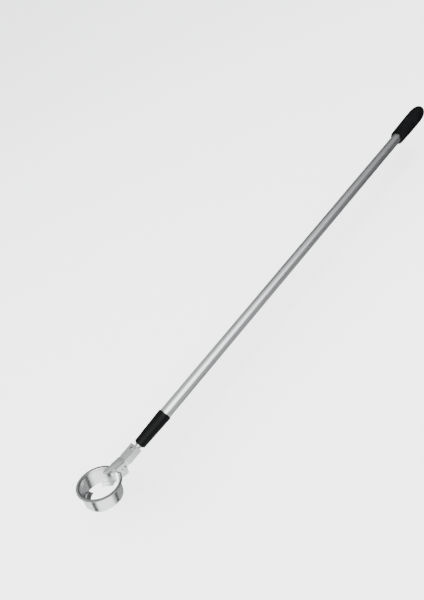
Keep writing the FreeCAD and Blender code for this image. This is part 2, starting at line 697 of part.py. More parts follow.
def make_spring():
    """A torsion spring round the spacer: one leg under the finger, one hooked in an ear."""
    wire = size("spring_wire") / 2
    radius = number(SPACER_RADIUS) + size("spring_slack") + wire
    hook_x = hook_across * math.cos(tilt) + hook_up * math.sin(tilt)
    hook_z = -hook_across * math.sin(tilt) + hook_up * math.cos(tilt)
    start = math.atan2(hook_z, hook_x) + math.acos(radius / math.hypot(hook_x, hook_z))
    finger_leg = math.radians(size("spring_leg_angle"))
    finish = math.pi / 2 - finger_leg
    turns = size("spring_turns") + ((finish - start) / (2 * math.pi)) % 1.0
    half_coil = turns * size("spring_pitch") / 2

    def on_coil(share):
        angle = start + share * turns * 2 * math.pi
        across = half_coil * (1 - 2 * share)
        return FreeCAD.Vector(radius * math.cos(angle), across, radius * math.sin(angle))

    near = on_coil(0)
    far = on_coil(1)
    corner = FreeCAD.Vector(hook_x, half_coil, hook_z)
    inward = (near - corner).normalize()
    sideways = FreeCAD.Vector(0, 1, 0)
    bend = size("spring_bend_share") * size("spring_wire")
    bend_centre = corner + inward * bend + sideways * bend
    quarter = [math.pi / 2 * share / 4 for share in range(5)]
    hook_end = corner + sideways * (number(EAR_OUTSIDE) - half_coil + 2 * size("side_gap"))
    leg_way = FreeCAD.Vector(-math.cos(finger_leg), 0, math.sin(finger_leg))
    leg_start = far + leg_way * wire
    steps = round(turns * STEPS_PER_TURN)
    hook_start = bend_centre - inward * bend
    path = [hook_end + (hook_start - hook_end) * share / 4 for share in range(4)]
    path += arc_points(bend_centre, inward * -1, sideways * -1, bend, quarter)
    path += [corner + (near - corner) * share for share in (0.5, 0.75)]
    path += [on_coil(step / steps) for step in range(steps + 1)]
    path += [leg_start, far + leg_way * (size("spring_leg") / 2),
             far + leg_way * size("spring_leg")]
    curve = Part.BSplineCurve()
    curve.interpolate(path)
    return round_wire(curve, wire, round(curve.length() / size("spring_wire")))


hinge_spring = feature("hinge_spring", make_spring())
hinge_spring.Placement = FreeCAD.Placement(
    FreeCAD.Vector(number(HINGE_X), 0, size("hinge_height")), FreeCAD.Rotation())

# ---------------------------------------------------------------- cup
THROAT = cell("cup_throat_diameter") / 2
FOOT = cell("cup_foot_diameter") / 2
RIM = cell("rim_diameter") / 2
SHEET = cell("sheet")
DEPTH = cell("cup_height")
cup = new_body("cup")
ring_profile = outline(cup, "cup_profile", "XZ_Plane", [
    (THROAT, Formula("0")),
    (RIM, -cell("rim_droop")),
    (RIM, -cell("rim_droop") - SHEET),
    (THROAT + SHEET, -SHEET),
    (FOOT + SHEET, -DEPTH),
    (FOOT - cell("tab_reach"), -DEPTH),
    (FOOT - cell("tab_reach"), SHEET - DEPTH),
    (FOOT, SHEET - DEPTH),
])
ring = cup.newObject("PartDesign::Revolution", "cup_ring")
ring.Profile = ring_profile
ring.ReferenceAxis = (ring_profile, ["V_Axis"])
ring.Angle = 360.0
doc.recompute()


def round_rings(body, name, radius, z, ring_radius):
    """Fillet the cup's circular edges at one height and radius."""
    found = []
    for index, edge in enumerate(body.Tip.Shape.Edges, start=1):
        if isinstance(edge.Curve, Part.Circle) and abs(edge.Curve.Center.z - z) < SAME_PLACE:
            if abs(edge.Curve.Radius - ring_radius) < SAME_PLACE:
                found.append(f"Edge{index}")
    if not found:
        raise RuntimeError(f"{body.Label}: no ring edge for {name}")
    base = body.Tip
    fillet = body.newObject("PartDesign::Fillet", name)
    fillet.Base = (base, found)
    fillet.setExpression("Radius", str(radius))
    doc.recompute()


throat = size("cup_throat_diameter") / 2
foot = size("cup_foot_diameter") / 2
round_rings(cup, "rim_bend_outer", cell("rim_bend"), 0, throat)
round_rings(cup, "rim_bend_inner", cell("rim_bend") - SHEET, -size("sheet"),
            throat + size("sheet"))
round_rings(cup, "foot_bend_outer", cell("foot_bend"), -size("cup_height"),
            foot + size("sheet"))
round_rings(cup, "foot_bend_inner", cell("foot_bend") - SHEET,
            size("sheet") - size("cup_height"), foot)

cut_block(cup, "ears", "XZ_Plane",
          [(cell("ear_root"), cell("ear_foot")), (cell("ear_end"), cell("ear_foot")),
           (cell("ear_end"), cell("ear_top_end")), (cell("ear_root"), cell("ear_top_root"))],
          2 * EAR_OUTSIDE, both_ways=True, add=True)
cut_block(cup, "ear_slot", "XZ_Plane",
          [(cell("ear_root") - 4 * SHEET, -2 * DEPTH), (2 * cell("ear_end"), -2 * DEPTH),
           (2 * cell("ear_end"), DEPTH), (cell("ear_root") - 4 * SHEET, DEPTH)],
          2 * EAR_INSIDE, both_ways=True)
round_corners(cup, cell("ear_round"), [
    (size("ear_end"), size("ear_foot")), (size("ear_end"), size("ear_top_end")),
    (size("ear_root"), size("ear_top_root"))])

GAP_SLOPE = Formula("tan((180deg / Sizes.tab_count) - (Sizes.tab_angle * 1deg / 2))")
gap_outline = outline(cup, "tab_gap_outline", "XY_Plane",
                      [(Formula("0"), Formula("0")),
                       (RIM * 2, -(RIM * 2 * GAP_SLOPE)),
                       (RIM * 2, RIM * 2 * GAP_SLOPE)],
                      offset=cell("foot_bend") + cell("side_gap") - DEPTH)
tab_gap = cup.newObject("PartDesign::Pocket", "tab_gap")
tab_gap.Profile = gap_outline
tab_gap.setExpression("Length", str(DEPTH))
doc.recompute()
tab_gaps = cup.newObject("PartDesign::PolarPattern", "tab_gaps")
tab_gaps.Originals = [tab_gap]
tab_gaps.Axis = (origin_plane(cup, "Z_Axis"), [""])
tab_gaps.Angle = 360.0
tab_gaps.setExpression("Occurrences", str(cell("tab_count")))
cup.Tip = tab_gaps
doc.recompute()

drill(cup, "hinge_holes", "XZ_Plane", cell("hinge_reach"), cell("hinge_above_rim"),
      cell("rivet_diameter") + 2 * cell("hinge_gap"))
drill(cup, "spring_hole", "XZ_Plane",
      cell("hinge_reach") + Formula(str(hook_across)), cell("hinge_above_rim") + Formula(str(hook_up)),
      cell("spring_wire") + 2 * cell("spring_hole_gap"), length=2 * SHEET,
      offset=-EAR_INSIDE + cell("side_gap"))
cup.Placement = FreeCAD.Placement(FreeCAD.Vector(0, 0, 0),
                                  FreeCAD.Rotation(FreeCAD.Vector(0, 1, 0), size("cup_tilt")))
cup.setExpression("Placement.Rotation.Angle", "Sizes.cup_tilt * 1deg")
cup.setExpression("Placement.Base.x", str(HINGE_X - cell("hinge_reach") * cosine("cup_tilt")
                                          - cell("hinge_above_rim") * sine("cup_tilt")))
cup.setExpression("Placement.Base.z", str(cell("hinge_height")
                                          + cell("hinge_reach") * sine("cup_tilt")
                                          - cell("hinge_above_rim") * cosine("cup_tilt")))
doc.recompute()

# ---------------------------------------------------------------- check and write
for item in doc.Objects:
    if "Invalid" in item.State or "Error" in item.State:
        raise RuntimeError(f"{item.Label} failed: {item.State}")

pieces = [item for item in doc.Objects if item.TypeId == "PartDesign::Body"]
pieces += [item for item in doc.Objects if item.TypeId == "Part::Feature"]
os.makedirs("parts", exist_ok=True)
for piece in pieces:
    if piece.Shape.isNull() or not piece.Shape.isValid():
        raise RuntimeError(f"{piece.Label} has no valid shape")
for piece in pieces:
    piece.Shape.exportStep(f"parts/{piece.Label}.step")
print(f"{len(pieces)} pieces written")
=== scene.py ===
import math

import bmesh
import bpy
from bpy.props import FloatProperty, FloatVectorProperty, IntProperty, PointerProperty
from mathutils import Matrix, Vector


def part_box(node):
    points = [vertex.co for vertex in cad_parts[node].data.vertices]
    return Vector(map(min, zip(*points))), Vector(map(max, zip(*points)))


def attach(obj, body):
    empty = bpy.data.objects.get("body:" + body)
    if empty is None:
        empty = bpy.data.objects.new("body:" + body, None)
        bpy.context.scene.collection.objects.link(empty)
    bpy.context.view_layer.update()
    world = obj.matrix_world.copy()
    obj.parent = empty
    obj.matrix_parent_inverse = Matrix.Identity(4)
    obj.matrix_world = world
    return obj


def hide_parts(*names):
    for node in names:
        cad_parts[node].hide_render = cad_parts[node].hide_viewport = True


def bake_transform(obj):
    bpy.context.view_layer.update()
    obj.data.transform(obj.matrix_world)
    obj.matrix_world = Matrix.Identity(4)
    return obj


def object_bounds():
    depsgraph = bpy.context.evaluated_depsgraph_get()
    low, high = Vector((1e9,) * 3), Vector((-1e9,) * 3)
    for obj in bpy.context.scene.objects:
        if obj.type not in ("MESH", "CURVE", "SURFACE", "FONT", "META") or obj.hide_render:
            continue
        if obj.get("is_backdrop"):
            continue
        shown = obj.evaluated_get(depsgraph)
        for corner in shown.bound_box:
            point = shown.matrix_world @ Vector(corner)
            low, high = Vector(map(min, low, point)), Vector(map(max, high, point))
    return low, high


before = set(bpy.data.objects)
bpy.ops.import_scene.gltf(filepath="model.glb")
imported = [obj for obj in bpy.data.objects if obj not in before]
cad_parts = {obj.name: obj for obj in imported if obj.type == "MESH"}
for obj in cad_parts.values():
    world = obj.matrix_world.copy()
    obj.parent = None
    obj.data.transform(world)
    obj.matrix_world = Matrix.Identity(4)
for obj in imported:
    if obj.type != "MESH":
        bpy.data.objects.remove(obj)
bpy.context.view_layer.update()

bl_info = {
    "name": "Golf ball retriever",
    "version": (1, 0, 0),
    "blender": (4, 5, 0),
    "location": "View3D > Sidebar > Retriever",
    "description": "Finishes and detailed pieces of a telescoping golf ball retriever",
    "category": "Object",
}

MM = 0.001
TURNED_ANGLE = 40.0  # degrees; a turned piece stays sharp where its faces meet at more
FOLD_ANGLE = 28.0  # degrees; sheet metal is rounded where its faces meet at more
WIRE_ANGLE = 50.0  # degrees; the same for the spring's wire
FLAT_ANGLE = 0.6  # degrees; faces that meet at less are joined into one
SAME_POINT = 0.001 * MM
MIDDLE_TUBE_GAP = 0.3 * MM
TOP_LIGHT = ("soft_top", (-0.2, -0.6, 1.7), 1.8, 60.0)
SIDE_LIGHT = ("soft_side", (-1.5, 0.9, 1.1), 1.2, 20.0)
CAMERA_FROM_COLLAR = Vector((0.0066, -0.3814, 0.4255))
CAMERA_RIGHT = Vector((0.5939, -0.7394, -0.317))
CAMERA_AHEAD = Vector((0.2888, 0.5637, -0.7738))
CAMERA_SHIFT = (-0.0801, 0.1103)


# ---------------------------------------------------------------- sizes and colours
class GripSettings(bpy.types.PropertyGroup):
    """The rubber grip."""

    mouth_diameter: FloatProperty(
        name="Mouth diameter", description="Outside of the grip at its open end",
        default=23.2 * MM, subtype="DISTANCE", unit="LENGTH")
    end_diameter: FloatProperty(
        name="End diameter", description="Flat on the butt",
        default=14.0 * MM, subtype="DISTANCE", unit="LENGTH")
    shoulder: FloatProperty(
        name="Shoulder", description="Length from the thickest part to the butt",
        default=21.0 * MM, subtype="DISTANCE", unit="LENGTH")
    lip: FloatProperty(
        name="Lip", description="Round on the open end",
        default=1.4 * MM, subtype="DISTANCE", unit="LENGTH")
    vent: FloatProperty(
        name="Vent", description="Diameter of the vent hole in the butt",
        default=2.6 * MM, subtype="DISTANCE", unit="LENGTH")
    wall_behind: FloatProperty(
        name="Wall", description="Rubber behind the tube",
        default=5.0 * MM, subtype="DISTANCE", unit="LENGTH")
    colour: FloatVectorProperty(
        name="Colour", description="Moulded rubber", subtype="COLOR",
        default=(0.0015, 0.0015, 0.0017))


class CollarSettings(bpy.types.PropertyGroup):
    """The tapered collar on the front of the outer tube."""

    wide_diameter: FloatProperty(
        name="Wide end", description="Outside where the tube enters",
        default=18.4 * MM, subtype="DISTANCE", unit="LENGTH")
    narrow_diameter: FloatProperty(
        name="Narrow end", description="Outside at the front",
        default=15.36 * MM, subtype="DISTANCE", unit="LENGTH")
    socket: FloatProperty(
        name="Socket", description="Depth of the outer tube in the collar",
        default=7.0 * MM, subtype="DISTANCE", unit="LENGTH")
    bearing: FloatProperty(
        name="Bearing", description="Length of the bearing's seat",
        default=8.0 * MM, subtype="DISTANCE", unit="LENGTH")
    flutes: IntProperty(
        name="Flutes", description="Fine lengthwise flutes round the collar",
        default=40, min=8, max=90)
    flute_depth: FloatProperty(
        name="Flute depth", description="Depth of one flute",
        default=0.10 * MM, subtype="DISTANCE", unit="LENGTH")
    colour: FloatVectorProperty(
        name="Colour", description="Moulded plastic", subtype="COLOR",
        default=(0.0012, 0.0012, 0.0013))


class HeadSettings(bpy.types.PropertyGroup):
    """The stamped stem and cup."""

    edge_round: FloatProperty(
        name="Edge round", description="Round on the edges of the stem's sheet",
        default=0.22 * MM, subtype="DISTANCE", unit="LENGTH")
    cup_edge_round: FloatProperty(
        name="Cup edge round", description="Round on the edges of the cup's sheet",
        default=0.16 * MM, subtype="DISTANCE", unit="LENGTH")
    rivet_round: FloatProperty(
        name="Rivet round", description="Round on the edges of the rivets",
        default=0.14 * MM, subtype="DISTANCE", unit="LENGTH")
    rivet_bore: FloatProperty(
        name="Rivet bore", description="Bore of the tubular rivet",
        default=1.9 * MM, subtype="DISTANCE", unit="LENGTH")
    spring_wire: FloatProperty(
        name="Spring wire", description="Wire of the hinge spring",
        default=0.8 * MM, subtype="DISTANCE", unit="LENGTH")
    cup_tilt: FloatProperty(
        name="Cup tilt", description="Lean of the cup's axis from upright",
        default=math.radians(24.2), subtype="ANGLE", unit="ROTATION")
    colour: FloatVectorProperty(
        name="Plating", description="Bright plated steel", subtype="COLOR",
        default=(0.80, 0.80, 0.80))


class PoleSettings(bpy.types.PropertyGroup):
    """The telescopic tubes."""

    colour: FloatVectorProperty(
        name="Tube", description="Satin silver tube", subtype="COLOR",
        default=(0.74, 0.745, 0.75))
    roughness: FloatProperty(
        name="Roughness", description="Satin of the tube", default=0.27, min=0.0, max=1.0)


class StageSettings(bpy.types.PropertyGroup):
    """Floor, light and camera."""

    floor_size: FloatProperty(
        name="Floor", description="Side of the floor", default=14.0, subtype="DISTANCE",
        unit="LENGTH")
    floor_colour: FloatVectorProperty(
        name="Floor colour", description="Pale floor", subtype="COLOR",
        default=(0.93, 0.93, 0.93))
    brightness: FloatProperty(
        name="Brightness", description="Strength of the room's light", default=3.2)
    lens: FloatProperty(
        name="Lens", description="Focal length in millimetres", default=25.97)


# ---------------------------------------------------------------- node maths
class Signal:
    """A number that comes out of a node, ready for arithmetic."""

    def __init__(self, finish, socket):
        self.finish = finish
        self.socket = socket

    def maths(self, operation, first, second):
        return self.finish.add("ShaderNodeMath", {"operation": operation}, {0: first, 1: second})

    def __add__(self, other):
        return self.maths("ADD", self, other)

    __radd__ = __add__

    def __sub__(self, other):
        return self.maths("SUBTRACT", self, other)

    def __rsub__(self, other):
        return self.maths("SUBTRACT", other, self)

    def __mul__(self, other):
        return self.maths("MULTIPLY", self, other)

    __rmul__ = __mul__


class NodeBench:
    """A node tree, and the one way that its nodes are added."""

    def __init__(self, owner):
        owner.use_nodes = True
        self.tree = owner.node_tree
        self.tree.nodes.clear()

    def add(self, kind, settings, sockets, output=0):
        node = self.tree.nodes.new(kind)
        for name, value in settings.items():
            if name == "stops":
                self.fill_ramp(node.color_ramp, value)
            else:
                setattr(node, name, value)
        for name, value in sockets.items():
            self.join(value, node.inputs[name])
        return None if output is None else Signal(self, node.outputs[output])

    def fill_ramp(self, ramp, stops):
        while len(ramp.elements) < len(stops):
            ramp.elements.new(0.5)
        for element, (position, grey) in zip(ramp.elements, stops):
            element.position = position
            element.color = (grey, grey, grey, 1.0)

    def join(self, value, target):
        if isinstance(value, Signal):
            self.tree.links.new(value.socket, target)
        elif hasattr(target.default_value, "__len__") and len(target.default_value) == 4:
            target.default_value = (*tuple(value)[:3], 1.0)
        else:
            target.default_value = value

    def ease(self, signal, start, stop):
        """0 before start, 1 after stop, and smooth between them."""
        return self.add("ShaderNodeMapRange", {"interpolation_type": "SMOOTHSTEP"},
                        {"Value": signal, "From Min": start, "From Max": stop})


class Finish(NodeBench):
    """A material on one principled surface."""

    def __init__(self, name, **surface):
        self.material = bpy.data.materials.new(name)
        super().__init__(self.material)
        self.shader = self.tree.nodes.new("ShaderNodeBsdfPrincipled")
        output = self.tree.nodes.new("ShaderNodeOutputMaterial")
        self.tree.links.new(self.shader.outputs[0], output.inputs[0])
        self.place = self.add("ShaderNodeTexCoord", {}, {}, "Object")
        self.set(**surface)

    def set(self, **sockets):
        for name, value in sockets.items():
            self.join(value, self.shader.inputs[name.replace("_", " ").title().replace("Ior", "IOR")])

    def stretched(self, x, y, z):
        """Object coordinates scaled by a different amount each way."""
        return self.add("ShaderNodeVectorMath", {"operation": "MULTIPLY"},
                        {0: self.place, 1: (x, y, z)})

    def grain(self, per_metre, detail=3.0, roughness=0.55, along=None):
        where = along if along is not None else self.place
        return self.add("ShaderNodeTexNoise", {},
                        {"Vector": where, "Scale": per_metre, "Detail": detail,
                         "Roughness": roughness})

    def ramp(self, signal, *stops):
        return self.add("ShaderNodeValToRGB", {"stops": stops}, {"Fac": signal})

    def between(self, share, first, second):
        return self.add("ShaderNodeMix", {"data_type": "RGBA"},
                        {0: share, 6: first, 7: second}, 2)

    def relief(self, height, depth, strength=1.0):
        self.set(normal=self.add("ShaderNodeBump", {},
                                 {"Height": height, "Distance": depth, "Strength": strength}))


def shade(colour, amount):
    return tuple(channel * amount for channel in colour)


# ---------------------------------------------------------------- finishes
def tube_finish(colour, roughness):
    """Satin anodised tube with fine lines drawn along it."""
    finish = Finish("satin_tube", metallic=1.0)
    lines = finish.grain(1.0, 3.0, 0.5, finish.stretched(5.0, 700.0, 700.0))
    cloud = finish.grain(38.0, 3.0)
    scuffs = finish.ramp(finish.grain(260.0, 6.0, 0.7), (0.60, 0.0), (0.74, 1.0))
    worn = finish.between(lines * 0.5 + cloud * 0.5, shade(colour, 0.93), shade(colour, 1.05))
    finish.set(base_color=finish.between(scuffs * 0.25, worn, shade(colour, 0.72)),
               roughness=roughness - 0.04 + lines * 0.08 + scuffs * 0.08)
    finish.relief(lines, 0.00001, 0.3)
    return finish.material


def plating(name, colour, gloss, speckle):
    """Bright plating over sheet steel, mottled by the stamping."""
    finish = Finish(name, metallic=1.0)
    mottle = finish.ramp(finish.grain(420.0, 6.0, 0.68), (0.36, 0.0), (0.66, 1.0))
    patches = finish.grain(90.0, 4.0, 0.6)
    pits = finish.ramp(finish.grain(1700.0, 5.0, 0.75), (0.55, 0.0), (0.70, 1.0))
    clean = finish.between(mottle, shade(colour, 1.08), shade(colour, 0.80))
    clouded = finish.between(patches * 0.5, clean, shade(colour, 0.86))
    finish.set(base_color=finish.between(pits * speckle, clouded, shade(colour, 0.34)),
               roughness=gloss + mottle * 0.10 + patches * 0.10 + pits * (speckle * 0.35))
    finish.relief(mottle * 0.5 + patches + pits * -speckle, 0.00005, 0.35)
    return finish.material


def sheared_finish(name, colour):
    """The torn grainy face that shearing leaves on sheet steel."""
    finish = Finish(name, metallic=1.0)
    crumbs = finish.grain(2600.0, 6.0, 0.75)
    torn = finish.ramp(crumbs, (0.36, 0.0), (0.62, 1.0))
    finish.set(base_color=finish.between(torn, shade(colour, 0.35), shade(colour, 0.95)),
               roughness=0.30 + torn * 0.22)
    finish.relief(crumbs, 0.00022, 0.8)
    return finish.material


def rubber_finish(colour):
    """Matt moulded rubber with a fine stipple and rubbed patches."""
    finish = Finish("grip_rubber", specular_ior_level=0.06)
    stipple = finish.grain(1500.0, 4.0, 0.6)
    rubbed = finish.ramp(finish.grain(60.0, 4.0, 0.6), (0.40, 0.0), (0.70, 1.0))
    cells = finish.add("ShaderNodeTexVoronoi", {}, {"Vector": finish.place, "Scale": 1100.0})
    finish.set(base_color=finish.between(rubbed, colour, shade(colour, 2.2)),
               roughness=0.62 - rubbed * 0.12 + stipple * 0.08)
    finish.relief(stipple + cells * 0.6, 0.00006, 0.5)
    return finish.material


def plastic_finish(name, colour, gloss):
    """Moulded plastic with drag marks along the mould."""
    finish = Finish(name, specular_ior_level=0.10)
    drag = finish.grain(1.0, 4.0, 0.6, finish.stretched(40.0, 1500.0, 1500.0))
    dust = finish.ramp(finish.grain(900.0, 5.0, 0.7), (0.62, 0.0), (0.74, 1.0))
    finish.set(base_color=finish.between(dust * 0.4, colour, shade(colour, 4.0)),
               roughness=gloss + drag * 0.14 + dust * 0.1)
    finish.relief(drag, 0.00005, 0.5)
    return finish.material


def steel_finish(name, colour, gloss):
    """Plain steel with fine turning marks."""
    finish = Finish(name, metallic=1.0)
    marks = finish.grain(1.0, 4.0, 0.65, finish.stretched(2200.0, 300.0, 300.0))
    stain = finish.grain(300.0, 5.0, 0.6)
    finish.set(base_color=finish.between(stain, shade(colour, 1.08), shade(colour, 0.76)),
               roughness=gloss + marks * 0.14 + stain * 0.08)
    finish.relief(marks, 0.00003, 0.4)
    return finish.material


def floor_finish(colour):
    """A pale matt floor."""
    finish = Finish("pale_floor", specular_ior_level=0.1)
    tone = finish.grain(1.5, 2.0)
    finish.set(base_color=finish.between(tone, shade(colour, 0.995), shade(colour, 1.005)),
               roughness=0.9)
    return finish.material


# ---------------------------------------------------------------- mesh work
def link(name, mesh, body):
    piece = bpy.data.objects.new(name, mesh)
    bpy.context.collection.objects.link(piece)
    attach(piece, body)
    return piece


def turned_mesh(name, profile, count, relief=None):
    """A closed mesh turned about the pole's axis from (x, radius) points."""
    mesh = bpy.data.meshes.new(name)
    work = bmesh.new()
    rings = []
    for x, radius in profile:
        if radius < 1e-7:
            rings.append([work.verts.new((x, 0.0, 0.0))])
            continue
        ring = []
        for step in range(count):
            angle = 2 * math.pi * step / count
            reach = radius + (relief(x, radius, angle) if relief else 0.0)
            ring.append(work.verts.new((x, reach * math.cos(angle), reach * math.sin(angle))))
        rings.append(ring)
    pairs = list(zip(rings, rings[1:]))
    if len(rings[0]) > 1 and len(rings[-1]) > 1:
        pairs.append((rings[-1], rings[0]))
    for first, second in pairs:
        for step in range(count):
            after = (step + 1) % count
            corners = [first[step % len(first)], first[after % len(first)],
                       second[after % len(second)], second[step % len(second)]]
            unique = list(dict.fromkeys(corners))
            if len(unique) > 2:
                work.faces.new(unique)
    bmesh.ops.recalc_face_normals(work, faces=work.faces)
    work.to_mesh(mesh)
    work.free()
    smooth(mesh, TURNED_ANGLE)
    return mesh


def smooth(mesh, degrees):
    for face in mesh.polygons:
        face.use_smooth = True
    mesh.set_sharp_from_angle(angle=math.radians(degrees))


def arc(centre_x, centre_r, radius, start, stop, count):
    """Points of a quarter round in the (x, radius) plane; angles in degrees from +x."""
    points = []
    for step in range(count + 1):
        angle = math.radians(start + (stop - start) * step / count)
        points.append((centre_x + radius * math.cos(angle), centre_r + radius * math.sin(angle)))
    return points


def softened_copy(node, name, body, edge_round, faces, edges):
    """The CAD piece's own shape with its edges rounded and given a finish of their own."""
    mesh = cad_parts[node].data.copy()
    mesh.materials.clear()
    work = bmesh.new()
    work.from_mesh(mesh)
    bmesh.ops.remove_doubles(work, verts=work.verts, dist=SAME_POINT)
    bmesh.ops.dissolve_limit(work, angle_limit=math.radians(FLAT_ANGLE), verts=work.verts,
                             edges=work.edges)
    bmesh.ops.recalc_face_normals(work, faces=work.faces)
    work.to_mesh(mesh)
    work.free()
    smooth(mesh, FOLD_ANGLE)
    piece = link(name, mesh, body)
    mesh.materials.append(faces)
    mesh.materials.append(edges)
    rounding = piece.modifiers.new("rounded_edges", "BEVEL")
    rounding.width = edge_round
    rounding.segments = 3
    rounding.limit_method = "ANGLE"
    rounding.angle_limit = math.radians(FOLD_ANGLE)
    rounding.use_clamp_overlap = True
    rounding.material = 1
    evening = piece.modifiers.new("even_shading", "WEIGHTED_NORMAL")
    evening.keep_sharp = False
    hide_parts(node)
    return piece


def dress(node, material):
    """Give a CAD node its finish."""
    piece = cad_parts[node]
    if not piece.material_slots:
        piece.data.materials.append(material)
    for slot in piece.material_slots:
        slot.material = material


# ---------------------------------------------------------------- operators
class RETRIEVER_OT_grip(bpy.types.Operator):
    """Mould the rubber grip"""

    bl_idname = "retriever.grip"
    bl_label = "Grip"

    def execute(self, context):
        wants = context.scene.retriever_grip
        low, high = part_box("grip")
        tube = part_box("outer_tube")[1][1]
        swell = high[1]
        lip = wants.lip
        mouth = wants.mouth_diameter / 2
        end = wants.end_diameter / 2
        shoulder_x = high[0] - wants.shoulder
        profile = [(low[0], tube), *arc(low[0] + lip, mouth - lip, lip, 180, 90, 6)]
        reach = shoulder_x - low[0]
        for step in range(1, 9):
            share = step / 8
            profile.append((low[0] + lip + (reach - lip) * share,
                            mouth + (swell - mouth) * math.sin(share * math.pi / 2)))
        for step in range(1, 22):
            turn = math.pi / 2 * step / 22
            profile.append((shoulder_x + wants.shoulder * math.sin(turn),
                            end + (swell - end) * math.cos(turn)))
        vent = wants.vent / 2
        soft = vent * 0.4
        profile += [(high[0], end * 0.99), (high[0], vent + soft), (high[0] - soft, vent),
                    (high[0] - vent * 2, vent * 0.9), (high[0] - vent * 2.2, 0.0)]
        inner = [(high[0] - wants.wall_behind, 0.0), (high[0] - wants.wall_behind, tube)]
        mesh = turned_mesh("grip_sleeve", profile, 96)
        liner = turned_mesh("grip_liner", inner + [(low[0], tube)], 96)
        work = bmesh.new()
        work.from_mesh(mesh)
        work.from_mesh(liner)
        bmesh.ops.remove_doubles(work, verts=work.verts, dist=SAME_POINT)
        bmesh.ops.recalc_face_normals(work, faces=work.faces)
        work.to_mesh(mesh)
        work.free()
        smooth(mesh, TURNED_ANGLE)
        bpy.data.meshes.remove(liner)
        piece = link("rubber_grip", mesh, "handle")
        mesh.materials.append(rubber_finish(wants.colour))
        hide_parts("grip")
        return {"FINISHED"}


class RETRIEVER_OT_collar(bpy.types.Operator):
    """Mould the tapered collar with its fine flutes"""

    bl_idname = "retriever.collar"
    bl_label = "Collar"

    def execute(self, context):
        wants = context.scene.retriever_collar
        low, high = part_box("tube_collar")
        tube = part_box("outer_tube")[1][1]
        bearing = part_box("collar_bearing")[1][1]
        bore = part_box("middle_tube")[1][1] + MIDDLE_TUBE_GAP
        wide = wants.wide_diameter / 2
        narrow = wants.narrow_diameter / 2
        length = high[0] - low[0]
        lip = 0.3 * MM

        def fluting(x, radius, angle):
            """Flutes run between two plain bands and fade out at their ends."""
            if radius < narrow - lip:
                return 0.0
            near_end = min(x - low[0], high[0] - x) - 2.5 * MM
            fade = max(0.0, min(1.0, near_end / (1.5 * MM)))
            return -wants.flute_depth * fade * (0.5 + 0.5 * math.cos(angle * wants.flutes))

        profile = arc(low[0] + lip, narrow - lip, lip, 180, 90, 4)
        for step in range(1, 40):
            share = step / 40
            profile.append((low[0] + length * share, narrow + (wide - narrow) * share))
        profile += arc(high[0] - lip, wide - lip, lip, 90, 0, 4)
        profile += [(high[0], tube), (high[0] - wants.socket, tube),
                    (high[0] - wants.socket, bore), (low[0] + wants.bearing, bore),
                    (low[0] + wants.bearing, bearing), (low[0], bearing)]
        mesh = turned_mesh("collar", profile, wants.flutes * 8, fluting)
        piece = link("fluted_collar", mesh, "handle")
        mesh.materials.append(plastic_finish("collar_plastic", wants.colour, 0.30))
        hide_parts("tube_collar")
        return {"FINISHED"}


class RETRIEVER_OT_stem(bpy.types.Operator):
    """Stamp the stem with its pointed finger"""

    bl_idname = "retriever.stem"
    bl_label = "Stem"

    def execute(self, context):
        wants = context.scene.retriever_head
        piece = softened_copy("stem", "folded_stem", "inner_section", wants.edge_round,
                              plating("stem_plating", wants.colour, 0.20, 0.45),
                              sheared_finish("stem_edges", shade(wants.colour, 0.55)))
        return {"FINISHED"}


class RETRIEVER_OT_cup(bpy.types.Operator):
    """Draw the cup, with bright plating and sheared edges"""

    bl_idname = "retriever.cup"
    bl_label = "Cup"

    def execute(self, context):
        wants = context.scene.retriever_head
        piece = softened_copy("cup", "drawn_cup", "cup", wants.cup_edge_round,
                              plating("cup_plating", wants.colour, 0.10, 0.22),
                              sheared_finish("cup_edges", shade(wants.colour, 0.60)))
        piece.data.materials.append(sheared_finish("rim_edge", shade(wants.colour, 0.80)))
        axis = Matrix.Rotation(wants.cup_tilt, 3, "Y") @ Vector((0.0, 0.0, 1.0))
        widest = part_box("cup")[1][1]
        rim_depth = 0.4 * MM
        rim_face = 40 * MM * MM
        middle = self.mouth_centre(piece.data, axis, widest)
        for face in piece.data.polygons:
            reach = face.center - middle
            radial = reach - axis * reach.dot(axis)
            outward = face.normal.dot(radial.normalized())
            if radial.length > widest - rim_depth and outward > 0.8 and face.area < rim_face:
                face.material_index = 2
        return {"FINISHED"}

    def mouth_centre(self, mesh, axis, widest):
        """The middle of the rim, from the two points of it that stand widest."""
        near = 0.05 * MM
        edge = [vertex.co for vertex in mesh.vertices if abs(vertex.co.y) > widest - near]
        if not edge:
            raise RuntimeError("The cup's rim wasn't found")
        middle = sum(edge, Vector()) / len(edge)
        middle.y = 0.0
        return middle


class RETRIEVER_OT_pole(bpy.types.Operator):
    """Finish the tubes, plugs and bushes"""

    bl_idname = "retriever.pole"
    bl_label = "Pole"

    def execute(self, context):
        wants = context.scene.retriever_pole
        satin = tube_finish(wants.colour, wants.roughness)
        for node in ("outer_tube", "middle_tube", "inner_tube"):
            dress(node, satin)
        black = plastic_finish("bush_plastic", (0.015, 0.015, 0.016), 0.42)
        for node in ("butt_plug", "collar_bearing", "middle_front_bush", "middle_rear_bush",
                     "inner_rear_bush"):
            dress(node, black)
        spring = steel_finish("leaf_steel", (0.52, 0.52, 0.53), 0.24)
        for node in ("middle_friction_spring", "inner_friction_spring"):
            dress(node, spring)
        plain = steel_finish("plain_steel", (0.62, 0.62, 0.62), 0.22)
        for node in ("middle_bush_pin", "inner_bush_pin", "neck_plug", "hinge_spacer"):
            dress(node, plain)
        return {"FINISHED"}


